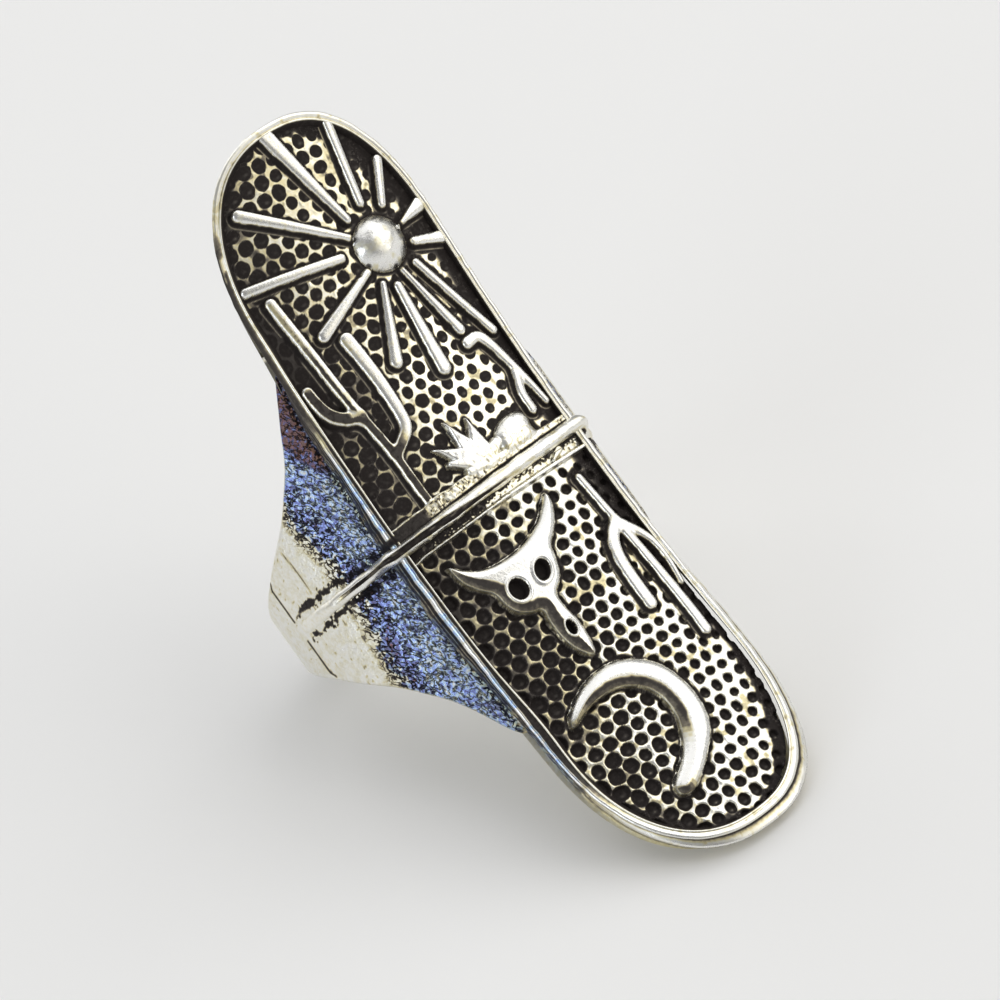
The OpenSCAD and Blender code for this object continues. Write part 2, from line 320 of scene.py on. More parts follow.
def grid_mesh(name, points, values, closed=(False, False), flip=False):
    """Mesh of quads through a grid of points, with named values stored on its vertices."""
    rows, cols = points.shape[:2]
    r = np.arange(rows if closed[0] else rows - 1)
    c = np.arange(cols if closed[1] else cols - 1)
    r, c = np.meshgrid(r, c, indexing="ij")
    r2, c2 = (r + 1) % rows, (c + 1) % cols
    quads = np.stack([r * cols + c, r * cols + c2, r2 * cols + c2, r2 * cols + c], -1).reshape(-1, 4)
    if flip:
        quads = quads[:, ::-1]
    mesh = bpy.data.meshes.new(name)
    mesh.vertices.add(rows * cols)
    mesh.vertices.foreach_set("co", points.reshape(-1).astype(np.float32))
    mesh.loops.add(quads.size)
    mesh.loops.foreach_set("vertex_index", quads.reshape(-1).astype(np.int32))
    mesh.polygons.add(len(quads))
    mesh.polygons.foreach_set("loop_start", np.arange(0, quads.size, 4, dtype=np.int32))
    mesh.polygons.foreach_set("use_smooth", np.ones(len(quads), bool))
    for key, field in values.items():
        layer = mesh.attributes.new(key, "FLOAT", "POINT")
        layer.data.foreach_set("value", np.broadcast_to(field, (rows, cols)).reshape(-1).astype(np.float32))
    mesh.update(calc_edges=True)
    mesh.validate()
    piece = bpy.data.objects.new(name, mesh)
    bpy.context.scene.collection.objects.link(piece)
    return piece


def fit_piece(piece, material):
    """Gives a piece its metal and ties it to the one casting that it is part of."""
    piece.data.materials.append(material)
    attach(piece, "root")
    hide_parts("ring")


def effect_group(name, inputs, outputs):
    """A shader node group with the named sockets; returns it and the nodes of its two ends."""
    group = bpy.data.node_groups.new(name, "ShaderNodeTree")
    for way, sockets in (("INPUT", inputs), ("OUTPUT", outputs)):
        for socket, kind in sockets:
            group.interface.new_socket(name=socket, in_out=way, socket_type="NodeSocket" + kind)
    return group, group.nodes.new("NodeGroupInput"), group.nodes.new("NodeGroupOutput")


def noise_node(tree, scale, detail, roughness=0.5, distortion=0.0, coords=None):
    """A noise on Object coordinates, or on those given; returns its value."""
    if coords is None:
        coords = tree.nodes.new("ShaderNodeTexCoord").outputs["Object"]
    node = tree.nodes.new("ShaderNodeTexNoise")
    values = {"Scale": scale, "Detail": detail, "Roughness": roughness, "Distortion": distortion}
    for key, value in values.items():
        node.inputs[key].default_value = value
    tree.links.new(coords, node.inputs["Vector"])
    return node.outputs["Fac"]


def math_node(tree, operation, *feeds, clamp=False):
    """A math node fed with plain numbers and other nodes' outputs; returns its value."""
    node = tree.nodes.new("ShaderNodeMath")
    node.operation = operation
    node.use_clamp = clamp
    for socket, feed in zip(node.inputs, feeds):
        if isinstance(feed, (int, float)):
            socket.default_value = feed
        else:
            tree.links.new(feed, socket)
    return node.outputs[0]


def range_node(tree, value, from_min, from_max, to_min, to_max):
    """Takes a value from one range to another; returns the result."""
    node = tree.nodes.new("ShaderNodeMapRange")
    limits = {"From Min": from_min, "From Max": from_max, "To Min": to_min, "To Max": to_max}
    for key, limit in limits.items():
        node.inputs[key].default_value = limit
    tree.links.new(value, node.inputs["Value"])
    return node.outputs["Result"]


def ramp_node(tree, value, stops):
    """A colour ramp over a value, with its stops as position and colour; returns the colour."""
    node = tree.nodes.new("ShaderNodeValToRGB")
    elements = node.color_ramp.elements
    for element, (position, colour) in zip(elements, (stops[0], stops[-1])):
        element.position = position
        element.color = (*colour, 1)
    for position, colour in stops[1:-1]:
        elements.new(position).color = (*colour, 1)
    tree.links.new(value, node.inputs["Fac"])
    return node.outputs["Color"]


# antiqued metal is polished where it stands proud and black where the antiquing stayed in; the same shine
# also carries painted shade and painted highlights
ANTIQUED_TONES = (
    (0.0, (0.019, 0.015, 0.014)),
    (0.3, (0.068, 0.06, 0.054)),
    (0.5, (0.26, 0.23, 0.18)),
    (0.68, (0.72, 0.645, 0.4)),
    (0.8, (0.79, 0.76, 0.63)),
    (0.9, (0.87, 0.86, 0.8)),
    (1.0, (0.86, 0.855, 0.83)),
)
antiquing, ends_in, ends_out = effect_group(
    "antiqued_metal", [("Shine", "Float")],
    [("Base Color", "Color"), ("Roughness", "Float"), ("Metallic", "Float")],
)
smudge = math_node(antiquing, "MULTIPLY_ADD", noise_node(antiquing, 5200, 3), 0.3, -0.15)
polish = math_node(antiquing, "ADD", ends_in.outputs["Shine"], smudge, clamp=True)
for socket, feed in (
    ("Base Color", ramp_node(antiquing, polish, ANTIQUED_TONES)),
    ("Roughness", range_node(antiquing, polish, 0.0, 1.0, 0.7, 0.26)),
    ("Metallic", range_node(antiquing, polish, 0.2, 0.5, 0.0, 1.0)),
):
    antiquing.links.new(feed, ends_out.inputs[socket])


def vertex_value(tree, name):
    """Reads a value stored on the mesh's vertices."""
    node = tree.nodes.new("ShaderNodeAttribute")
    node.attribute_name = name
    return node.outputs["Fac"]


def metal_material(name, grain_scale, grain_strength, grain_depth):
    """Antiqued metal that reads the vertex value shine, with the grain of its casting as bump."""
    material = bpy.data.materials.new(name)
    material.use_nodes = True
    tree = material.node_tree
    shader = tree.nodes["Principled BSDF"]
    shader.inputs["Specular IOR Level"].default_value = 0.15
    skin = tree.nodes.new("ShaderNodeGroup")
    skin.name = "antiquing"
    skin.node_tree = antiquing
    tree.links.new(vertex_value(tree, "shine"), skin.inputs["Shine"])
    for key in ("Base Color", "Roughness", "Metallic"):
        tree.links.new(skin.outputs[key], shader.inputs[key])
    bump = tree.nodes.new("ShaderNodeBump")
    bump.name = "grain"
    bump.inputs["Strength"].default_value = grain_strength
    bump.inputs["Distance"].default_value = grain_depth
    tree.links.new(noise_node(tree, grain_scale, 4, roughness=0.6), bump.inputs["Height"])
    tree.links.new(bump.outputs["Normal"], shader.inputs["Normal"])
    return material


cast_metal = metal_material("cast_silver_ground", 6000, 0.35, 0.00004)

spots = pit_spots(1.2, 21.2, 11)
for part in ("straight", "end"):
    x, y, rows = panel_grid(1, part, -0.15)
    rays = [line_distance(x, y, ((a, b), (c, d)), w0, w1) for a, b, c, d, w0, w1 in RAYS]
    cacti = [line_distance(x, y, rounded(line), w0, w1) for line, w0, w1 in UPPER_CACTI]
    left_saguaro, right_saguaro = joined(cacti[:3]), joined(cacti[3:])
    leaves = [line_distance(x, y, ((a, b), (c, d)), w0, w1) for a, b, c, d, w0, w1 in AGAVE]
    agave, boulder = np.min(leaves, axis=0), outline_distance(x, y, rounded(BOULDER, closed=True))
    strokes = rays + [left_saguaro, right_saguaro]
    gap_all = np.min(strokes + [agave, boulder], axis=0)
    # ground, with painted shade on the webs round the left saguaro and at the sun end
    web_shade = soft(-x, 1.2, 2.2) * soft(y, 11.2, 9.6) * (1 - 0.6 * soft(x, -3.2, -2.7) * soft(y, 5.5, 4.5))
    web_shade += 0.55 * soft(y, 15.5, 18.5) * soft(x, -4.0, -2.0)
    height, shine, wash = sunk_ground(x, y, rows, spots, gap_all, 11, web_shade)
    # random tone, and painted light: the webs a little brighter towards the right and the crossbar
    shine *= 0.9 - 0.1 * soft(wash, 0.3, 0.5) + 0.1 * soft(x - 0.5 * y, -4.5, -1.0)
    shine *= 1 - 0.18 * web_shade
    shine *= 1 - 0.7 * soft(-x, 3.9, 4.5) * soft(y, 14.6, 13.8) * soft(y, 5.5, 7.5)
    # rays and saguaros, the left one with painted shade on its top
    for gap in strokes:
        top_shade = soft(-x, 1.9, 3.0) * (0.5 + 0.5 * soft(y, 11.8, 10.0)) if gap is left_saguaro else 0.0
        height, shine = add_stroke(x, y, height, shine, gap, top_shade)
    # sun, a low dome a little uneven from casting
    sun_gap = np.hypot(x - SUN[0], y - SUN[1])
    ball = (SUN_R**2 + SUN_RISE**2) / (2 * SUN_RISE)
    dome = FLOOR + 0.06 + SUN_RISE - ball + np.sqrt(np.maximum(ball**2 - sun_gap**2, 0))
    dome += 0.09 * (noise(x, y, 0.75, 41) - 0.5) + 0.05 * (noise(x, y, 0.4, 42) - 0.5)
    scuffed = 0.22 * soft(noise(x, y, 0.35, 43), 0.55, 0.85)
    shine = np.where(sun_gap < SUN_R, 1 - scuffed, shine * soft(sun_gap, SUN_R + 0.05, SUN_R + 0.3))
    height = np.where(sun_gap < SUN_R, np.maximum(height, dome), height)
    # agave and boulder
    rocky = noise(x, y, 0.3, 51) * 0.6 + noise(x, y, 0.14, 52) * 0.4
    scribble = np.exp(-(((rocky - 0.5) / 0.035) ** 2))
    scribble *= soft(2.0 - y + 0.5 * soft(x, -1, 2), 0.1, 0.9)
    for gap, tall, reach in ((agave, 0.5, 0.22), (boulder, 0.56, 0.6)):
        level = FLOOR + tall * np.sqrt(1 - (1 - np.clip(-gap / reach, 0, 1)) ** 2) - 0.05 * rocky
        height = np.where(gap < 0, np.maximum(height, level), height)
        shine = np.where(gap < 0, 0.98 - 0.34 * scribble - 0.08 * soft(y, 2.2, 1.2), shine)
    # strip of rough ground, and the black groove between it and the crossbar
    top_y = 1.1 + 0.12 * (noise(x, x * 0, 0.7, 53) - 0.5) + 0.08 * soft(x, -1, 4)
    top_y += 0.14 * soft(x, -3.9, -3.2) * soft(x, 0.2, -0.8)
    ground = soft(y, top_y + 0.06, top_y - 0.06)
    speck = noise(x, y, 0.17, 54) * 0.6 + noise(x, y, 0.08, 55) * 0.4
    height = np.maximum(height, FLOOR + ground * (0.44 - 0.08 * rocky - 0.04 * speck))
    bottom = 0.59 + 0.03 * x + 0.03 * np.minimum(x, 0)
    ground_shine = 0.86 - 0.6 * scribble * soft(top_y - y, 0.06, 0.14) - 0.3 * soft(speck, 0.6, 0.75)
    ground_shine *= 1 - 0.85 * soft(-x, 3.5, 4.1) * soft(top_y - y, 0.08, 0.16)
    ground_shine *= soft(y, bottom, bottom + 0.1)
    shine = np.where((y < top_y) & (np.minimum(agave, boulder) > -0.05), ground_shine, shine)
    height = np.where(y < bottom, FLOOR + 0.25, height)
    shine = np.where(y < bottom, 0.0, shine)
    points = place(x, y, plaque_z(x, y, height))
    fit_piece(grid_mesh("upper_panel_" + part, points, {"shine": shine}), cast_metal)

# Lower panel
# The sunk half of the plaque towards its moon end, part of the same casting and blackened like it.
# A cow skull with curved horns, a saguaro with three arms and a crescent moon stand up from its
# punched ground, and a speckled ledge runs along the crossbar.

# outlines and middle lines as in the upper panel
SKULL = (
    (-4.5, -2.0), (-3.9, -2.7), (-3.0, -3.28), (-1.8, -3.45), (-0.6, -3.35), (0.68, -2.9), (1.5, -2.32),
    (2.2, -1.62), (2.32, -2.2), (1.95, -2.98), (1.35, -3.68), (0.72, -4.12), (0.55, -4.7), (0.27, -5.5),
    (-0.15, -6.02), (-0.72, -6.35), (-0.75, -7.1), (-0.6, -8.1), (-0.68, -9.1), (-0.9, -9.95),
    (-1.25, -10.1), (-1.78, -9.3), (-2.02, -8.3), (-2.0, -7.4), (-1.82, -6.6), (-2.4, -6.52),
    (-3.05, -6.05), (-3.32, -5.3), (-3.34, -4.6), (-4.0, -3.95), (-4.42, -3.15), (-4.52, -2.5),
)
# holes in the skull: across, along, half width, half height, turn in degrees
SKULL_HOLES = (
    (-2.28, -5.1, 0.5, 0.6, 0),
    (-0.64, -4.97, 0.42, 0.6, -30),
    (-1.3, -8.22, 0.25, 0.42, -8),
)
LOWER_CACTI = (
    (((4.35, -2.1), (4.45, -3.2), (4.57, -4.5), (4.65, -5.4), (4.73, -6.5), (4.82, -8.2), (4.88, -10.7),
      (4.8, -12.2)), 0.42, 0.62),
    (((4.5, -5.1), (3.98, -5.45), (3.56, -6.0), (3.3, -6.9), (3.2, -8.2), (3.14, -9.5)), 0.66, 0.72),
    (((4.85, -5.4), (5.35, -6.1), (5.72, -7.0), (5.72, -8.3), (5.47, -9.5)), 0.5, 0.3),
)
MOON = (
    (-4.5, -12.32), (-4.2, -11.85), (-3.05, -11.1), (-1.85, -10.75), (-0.67, -10.8), (0.35, -11.22),
    (1.3, -12.05), (1.78, -13.15), (1.95, -14.4), (1.78, -15.65), (1.22, -16.65), (0.27, -17.4),
    (-0.6, -18.05), (-1.7, -18.6), (-2.35, -18.5), (-2.5, -18.0), (-2.1, -17.5), (-1.17, -16.98),
    (-0.42, -16.18), (0.12, -15.22), (0.3, -14.17), (0.08, -13.22), (-0.45, -12.62), (-1.23, -12.1),
    (-2.15, -12.0), (-3.07, -12.1), (-4.0, -12.42), (-4.4, -12.55),
)


def add_figure(x, y, gap, reach, tall, slope):
    """Height and shine of a cast figure: a round back, painted shade down its shaded side, and a painted
    highlight as a thin bright line along its foot.
    """
    shaded = shaded_side(gap, x, y)
    level = FLOOR + tall * np.sqrt(1 - (1 - np.clip(-gap / reach, 0, 1)) ** 2)
    rub = 0.08 * (noise(x, y, 0.35, 79) - 0.5)
    # painted shade down the shaded side, a little lighter towards its foot
    paint = 1 - 0.84 * shaded * soft(gap + rub, -slope, -slope + 0.24)
    paint += shaded * (0.26 * soft(gap, -0.5, -0.05) + 0.12 * (noise(x, y, 0.25, 81) - 0.5))
    # painted highlight: a thin bright line just inside the foot
    paint = np.maximum(paint, 0.95 * np.exp(-(((gap + 0.05) / 0.055) ** 2)))
    return level, paint


spots = pit_spots(-20.9, -1.35, 31)
for part in ("straight", "end"):
    x, y, rows = panel_grid(-1, part, 0.15)
    cactus = joined([line_distance(x, y, rounded(line), w0, w1) for line, w0, w1 in LOWER_CACTI])
    skull, moon = (outline_distance(x, y, rounded(line, closed=True)) for line in (SKULL, MOON))
    gap_all = np.min([cactus, skull, moon], axis=0)
    # painted shade on the webs, on the left and away from the moon end
    web_shade = soft(-x, 0.8, 2.6) * soft(y, -14.5, -9.0)
    height, shine, wash = sunk_ground(x, y, rows, spots, gap_all, 31, 0.5 * web_shade)
    shine *= 0.92 - 0.2 * soft(wash, 0.3, 0.5) * soft(y, -6.5, -2.5) * soft(-x, -2.0, 1.0)
    shine *= 1 - 0.24 * web_shade
    height, shine = add_stroke(x, y, height, shine, cactus)
    for gap, reach, tall, slope in ((skull, 0.5, 0.44, 0.72), (moon, 0.8, 0.55, 0.62)):
        level, paint = add_figure(x, y, gap, reach, tall, slope)
        for hx, hy, hw, hh, turn in SKULL_HOLES if gap is skull else ():
            c, s = math.cos(math.radians(turn)), math.sin(math.radians(turn))
            ex = ((x - hx) * c + (y - hy) * s) / hw
            ey = (-(x - hx) * s + (y - hy) * c) / hh
            hole = np.hypot(ex, ey)
            level = level - 0.5 * (1 - soft(hole, 0.75, 1.0))
            level += 0.07 * np.exp(-(((hole - 1.22) / 0.16) ** 2))
            paint = np.where(hole < 1.0, 0.0, np.maximum(paint, 0.95 * soft(hole, 1.5, 1.28)))
        height = np.where(gap < 0, level, height)
        shine = np.where(gap < 0.04, np.where(gap < 0, paint, np.maximum(paint, shine)), shine)
    # ledge along the crossbar: a bright crest, then speckled ground that widens to the right
    speck = noise(x, y, 0.2, 61) * 0.5 + noise(x, y, 0.1, 62) * 0.5
    edge = -0.93 + 0.024 * np.minimum(x, 0) - 0.003 * np.maximum(x, 0) - 0.08 * soft(-x, 5.0, 5.75)
    crest_w = 0.07 + 0.1 * soft(x, -3.0, 4.0)
    teeth = 0.1 + 0.44 * soft(x, -2.5, 1.5)
    ledge = y > edge - 0.06
    rise = soft(y, edge - 0.06, edge + 0.04) * soft(y, edge + crest_w + 0.12, edge + crest_w)
    height = np.where(ledge, FLOOR + 0.12 + 0.3 * rise - 0.05 * speck, height)
    crest = soft(y, edge - 0.06, edge - 0.01)
    crest *= soft(y + 0.1 * (speck - 0.5), edge + crest_w + 0.06, edge + crest_w - 0.02)
    speckled = soft(y + 0.9 * (speck - 0.5), edge + crest_w + teeth, edge + crest_w + teeth - 0.12)
    speckled *= 0.86 - (0.5 - 0.2 * soft(x, 0.0, 2.0)) * soft(speck, 0.55, 0.7)
    bridge = soft(line_distance(x, y, ((4.4, -0.3), (3.7, -0.62)), 0.3, 0.14), 0.06, -0.02)
    faint = 0.34 * soft(speck, 0.6, 0.7)
    low_shine = np.maximum(np.maximum(0.96 * crest, speckled), np.maximum(0.85 * bridge, faint))
    shine = np.where(ledge, np.clip(low_shine, 0, 0.96), shine)
    height = np.where(ledge, np.maximum(height, FLOOR + 0.38 * bridge), height)
    height = np.where(y > -0.34, FLOOR + 0.2, height)
    points = place(x, y, plaque_z(x, y, height))
    fit_piece(grid_mesh("lower_panel_" + part, points, {"shine": shine}), cast_metal)

# Rim and edge
# The raised border all round the plaque, cast with it and polished bright on its crown.
# A fine black line runs along its inner side and another along its outer side, and below them a foot
# stands out, most at the moon end. The left side keeps more black, and its outer edge gets a painted bluish
# reflection of the cool light from the left, laid on as a film of colour.

# profile from the panel's floor over the rim to the underside:
# outward, up, lip share, shine, shine on the left, shine on the left towards the sun
RIM_PROFILE = (
    (-0.52, -0.52, 0, 0.0, 0.0, 0.0),
    (-0.5, -0.22, 0, 0.0, 0.0, 0.0),
    (-0.48, -0.1, 0, 0.2, 0.2, 0.4),
    (-0.45, -0.04, 0, 1.0, 1.0, 1.0),
    (-0.4, -0.03, 0, 1.0, 0.95, 1.0),
    (-0.36, -0.07, 0, 0.62, 0.1, 0.9),
    (-0.32, -0.08, 0, 0.9, 0.04, 0.6),
    (-0.27, -0.04, 0, 1.0, 0.04, 0.36),
    (-0.23, -0.01, 0, 1.0, 0.15, 0.3),
    (-0.2, 0.0, 0, 1.0, 0.95, 0.28),
    (-0.14, 0.0, 0, 1.0, 1.0, 0.28),
    (-0.08, -0.02, 0, 1.0, 1.0, 0.28),
    (-0.03, -0.07, 0, 1.0, 1.0, 0.3),
    (0.0, -0.16, 0, 0.95, 1.0, 0.3),
    (0.0, -0.24, 0, 0.85, 0.6, 0.3),
    (0.0, -0.28, 0, 0.7, 0.08, 0.3),
    (0.0, -0.36, 0, 0.1, 0.05, 0.32),
    (0.01, -0.45, 0.04, 0.05, 0.05, 0.32),
    (0.03, -0.52, 0.25, 0.6, 0.1, 0.32),
    (0.06, -0.57, 0.6, 0.95, 0.6, 0.33),
    (0.09, -0.62, 0.8, 1.0, 0.16, 0.33),
    (0.12, -0.68, 1.0, 1.0, 0.3, 0.33),
    (0.12, -0.8, 1.0, 1.0, 0.7, 0.33),
    (0.1, -0.95, 1.0, 0.5, 0.75, 0.32),
    (0.08, -1.15, 1.0, 0.75, 0.75, 0.33),
    (0.03, -1.36, 0.95, 0.8, 0.75, 0.5),
    (-0.05, -1.45, 0.8, 0.75, 0.7, 0.6),
)
# below this the edge is the foot
FOOT_TOP = -0.65
# small nubs left by the casting: across, along, spread, size, and the height that they stay below
NUBS = ((4.0, -20.4, 0.05, 1.0, -0.3), (-1.3, 21.4, 0.04, 0.6, -0.05))
# colours that the film of colour takes as it grows thicker: tarnish, and a painted reflection of bluish light
FILM_AND_REFLECTION_TONES = (
    (0.0, (1.0, 1.0, 1.0)),
    (0.2, (0.78, 0.77, 0.8)),
    (0.34, (0.54, 0.72, 1.0)),
    (0.42, (0.36, 0.48, 1.0)),
    (0.52, (0.22, 0.26, 0.6)),
    (0.64, (0.15, 0.16, 0.34)),
    (0.8, (0.26, 0.15, 0.18)),
    (1.0, (0.24, 0.16, 0.16)),
)
# a film of colour over the metal: tarnish, and a painted reflection of bluish light
tarnish_and_reflection, ends_in, ends_out = effect_group(
    "tarnish_and_reflection_film", [("Base Color", "Color"), ("Film and reflection", "Float")], [("Base Color", "Color")]
)
drift = math_node(tarnish_and_reflection, "MULTIPLY_ADD", noise_node(tarnish_and_reflection, 4300, 3), 2.2, -0.1)
depth = math_node(tarnish_and_reflection, "MULTIPLY", drift, ends_in.outputs["Film and reflection"], clamp=True)
tint = tarnish_and_reflection.nodes.new("ShaderNodeMix")
tint.data_type = "RGBA"
tint.blend_type = "MULTIPLY"
tint.inputs["Factor"].default_value = 1.0
tarnish_and_reflection.links.new(ends_in.outputs["Base Color"], tint.inputs["A"])
tarnish_and_reflection.links.new(ramp_node(tarnish_and_reflection, depth, FILM_AND_REFLECTION_TONES), tint.inputs["B"])
tarnish_and_reflection.links.new(tint.outputs["Result"], ends_out.inputs["Base Color"])


def add_film_and_reflection(material):
    """Lays the film of colour over a metal, as thick as the vertex value for the film says: tarnish, and a
    painted reflection of bluish light.
    """
    tree = material.node_tree
    layer = tree.nodes.new("ShaderNodeGroup")
    layer.node_tree = tarnish_and_reflection
    tree.links.new(tree.nodes["antiquing"].outputs["Base Color"], layer.inputs["Base Color"])
    tree.links.new(vertex_value(tree, "film_and_reflection"), layer.inputs["Film and reflection"])
    tree.links.new(layer.outputs["Base Color"], tree.nodes["Principled BSDF"].inputs["Base Color"])


polished_metal = metal_material("polished_silver", 2500, 0.3, 0.00004)
add_film_and_reflection(polished_metal)


def rim_loop(grow, moon_grow):
    """The plaque's outline as one closed loop of points, grown all round and at the moon end."""
    side, run, k = HALF_W + grow, END_RUN + grow, 2 / END_POWER
    turn = np.radians(np.linspace(0, 180, 261))
    c, s = np.cos(turn), np.abs(np.sin(turn))
    end_x, end_y = side * np.sign(c) * np.abs(c) ** k, run * s**k
    top, low = END_REACH, -END_REACH - moon_grow
    down = np.linspace(top, low, 200)[1:-1]
    x = np.concatenate([end_x, np.full(len(down), -side), -end_x, np.full(len(down), side)])
    return x, np.concatenate([top + end_y, down, low - end_y, down[::-1]])


rim_points, rim_shine, rim_blue_reflection = [], [], []
for out, up, share, value, left_value, sun_value in RIM_PROFILE:
    x, y = rim_loop(out, 0.48 * share)
    # the edge is tucked in under the crown: all round towards the sun end, and along the left side
    sunward = soft(y, 6.5, 14.0)
    tuck = np.clip(-up - 0.1, 0, 1.4) * 0.42 + max(out, 0)
    x = x * (1 - sunward * tuck / 7.0)
    y = y - sunward * soft(y, 12.0, 20.0) * tuck * 0.9
    deep = min(max(-up / 0.7, 0), 1)
    on_left = soft(-x, 3, 6)
    x = x + 0.42 * deep * soft(-y, 3.0, 13.0) + 0.25 * deep * soft(y, 1.0, 4.0) * on_left
    x = x + 0.24 * deep * np.exp(-(((y - 12.1) / 1.5) ** 2)) * on_left
    nub = np.zeros(x.shape)
    for nub_x, nub_y, spread, size, top in NUBS:
        nub += size * np.exp(-((x - nub_x) ** 2 + (y - nub_y) ** 2) / spread) * (up < top)
    bulge = 0.22 * np.exp(-(((y + 11.5) / 3.0) ** 2)) * soft(-x, 3, 5) * (out < -0.3)
    uneven = 0.05 * (noise(x, y, 0.45, 67) - 0.5) * (out > -0.3)
    edge_x, edge_y = x * (1 + 0.008 * nub) + bulge + uneven, y * (1 + 0.003 * nub)
    rim_points.append(place(edge_x, edge_y, plaque_z(x, y, up)))
    # polish is worn and mottled, and on the left most of it stays black
    leftness = soft(-x, 2.5, 5.2) * soft(-y, 19.0, 12.5) * soft(y, 20.5, 16.5)
    worn = 0.1 * noise(x, y, 0.5, 66) + 0.2 * soft(noise(x, y, 0.25, 68), 0.7, 0.9)
    if up < FOOT_TOP:
        worn = worn + 0.6 * leftness * soft(noise(x + 40 * up, y, 0.2, 70), 0.4, 0.65)
    gap_by_bar = soft(y, 0.3, 0.4) * soft(y, 0.8, 0.65) * soft(-x, 4, 5)
    patches = 0.5 * soft(noise(x, y, 0.6, 72), 0.45, 0.7) * soft(y, 13.0, 15.0)
    sun_looks = np.minimum(sun_value + patches * (-0.34 < out < -0.1), 1)
    left_looks = left_value + (sun_looks - left_value) * soft(y, 5.0, 9.0)
    looks = (value + (left_looks - value) * leftness) * (1 - worn) * (1 - gap_by_bar)
    rim_shine.append(np.clip(looks - 0.04 * soft(y, 12.0, 17.0), 0, 1))
    # painted reflection of the cool light from the left, laid on the left edge as a bluish film
    reflection_depth = (0.3 if up > FOOT_TOP else 0.42) * (out > -0.25)
    cloud = soft(noise(x, y, 0.6, 69), 0.1, 0.4)
    rim_blue_reflection.append(reflection_depth * leftness * soft(y, 8.0, 4.0) * cloud)
rim_values = {"shine": np.array(rim_shine), "film_and_reflection": np.array(rim_blue_reflection)}
rim = grid_mesh("rim_and_edge", np.array(rim_points), rim_values, closed=(False, True), flip=True)
fit_piece(rim, polished_metal)

# Underside
# The plain back of the plaque, left smooth as it came from the mould and only lightly polished.
# It closes the plate between the foot of the rim all round, above and below the wings.

# below the top of the rim, and its points along a round end, along the straight part and across
UNDER_UP = -1.45
END_ROWS, STRAIGHT_ROWS, UNDER_COLS = 60, 58, 41
turn = np.radians(np.linspace(0, 90, END_ROWS))
end_y = END_REACH + (END_RUN - 0.1) * np.sin(turn) ** (2 / END_POWER)
straight_y = np.linspace(-END_REACH, END_REACH, STRAIGHT_ROWS + 2)[1:-1]
under_y = np.concatenate([-end_y[::-1] - 0.35, straight_y, end_y - 0.45])
narrowing = np.concatenate([np.cos(turn[::-1]), np.ones(STRAIGHT_ROWS), np.cos(turn)]) ** (2 / END_POWER)
half = (HALF_W - 0.15 - 0.35 * soft(under_y, 6.5, 14.0)) * narrowing
x = half[:, None] * np.linspace(-1, 1, UNDER_COLS)
y = np.repeat(under_y[:, None], UNDER_COLS, axis=1)
points = place(x, y, plaque_z(x, y, UNDER_UP))
fit_piece(grid_mesh("underside", points, {"shine": np.full(x.shape, 0.8)}, flip=True), polished_metal)

# Wings and band
# Smooth wings come down from the plaque's long sides, cast with it, and narrow to a slim band
# behind the finger. By the plaque their skin is wrinkled under a blue and brown film of colour: tarnish,
# and in its blue a painted reflection of bluish light. Further down the bare metal shows, with dark
# patina beside the crossbar and a few fine lines.

# radius of the finger hole and of the band's outside
BORE_R = 8.67
BAND_R = 9.75
# foot of the wing on the plaque: across, below the top of the rim, and its turn round the finger
FOOT_X = 6.2
FOOT_UP = -1.3
FOOT_TURN = 30.0
# where the wing meets the band: across, over the finger's axis, and its turn; and its sag on the way
WING_X, WING_Z = 7.98, 5.6
WING_TURN = 54.9
WING_SAG = 0.1
# rounding of the outer edges, and the turn past which the band has fewer points
EDGE_R = 0.3
TURN_SPLIT = 98
# half length of the wing: run down from the plaque's foot, half length towards the sun, towards the moon
WING_HALF = (
    (0.0, 11.6, 11.5), (0.4, 10.2, 10.8), (1.0, 9.0, 9.65), (1.5, 8.1, 8.7), (2.0, 7.3, 7.95),
    (3.0, 6.15, 6.75), (4.0, 5.2, 5.75), (5.0, 4.55, 5.05), (6.0, 4.0, 4.45), (7.0, 3.55, 3.85),
    (8.0, 3.1, 3.3), (9.0, 2.78, 2.85), (10.0, 2.47, 2.5), (11.0, 2.2, 2.17), (13.0, 1.75, 1.72),
    (17.0, 1.47, 1.47),
)


def add_wrinkles(material):
    """Creases the cast skin where the vertex value wrinkle says; the furrows hold the antiquing."""
    tree = material.node_tree
    grainwise = tree.nodes.new("ShaderNodeMapping")
    grainwise.inputs["Rotation"].default_value = (-LEAN, 0, 0)
    grainwise.inputs["Scale"].default_value = (1.0, 0.5, 1.0)
    coords = tree.nodes.new("ShaderNodeTexCoord")
    tree.links.new(coords.outputs["Object"], grainwise.inputs["Vector"])
    crease = noise_node(tree, 3900, 2.5, distortion=0.5, coords=grainwise.outputs["Vector"])
    fold = math_node(tree, "ABSOLUTE", math_node(tree, "SUBTRACT", crease, 0.5))
    furrow = range_node(tree, fold, 0.012, 0.08, 1.0, 0.0)
    stain = math_node(tree, "MULTIPLY", furrow, vertex_value(tree, "wrinkle"))
    for socket, share in (
        (tree.nodes["antiquing"].inputs["Shine"], -0.95),
        (tree.nodes["grain"].inputs["Height"], -1.8),
    ):
        smooth = socket.links[0].from_socket
        tree.links.new(math_node(tree, "MULTIPLY_ADD", stain, share, smooth), socket)


wing_metal = metal_material("tarnished_silver_wing_with_painted_reflection", 4200, 0.8, 0.00009)
add_film_and_reflection(wing_metal)
add_wrinkles(wing_metal)


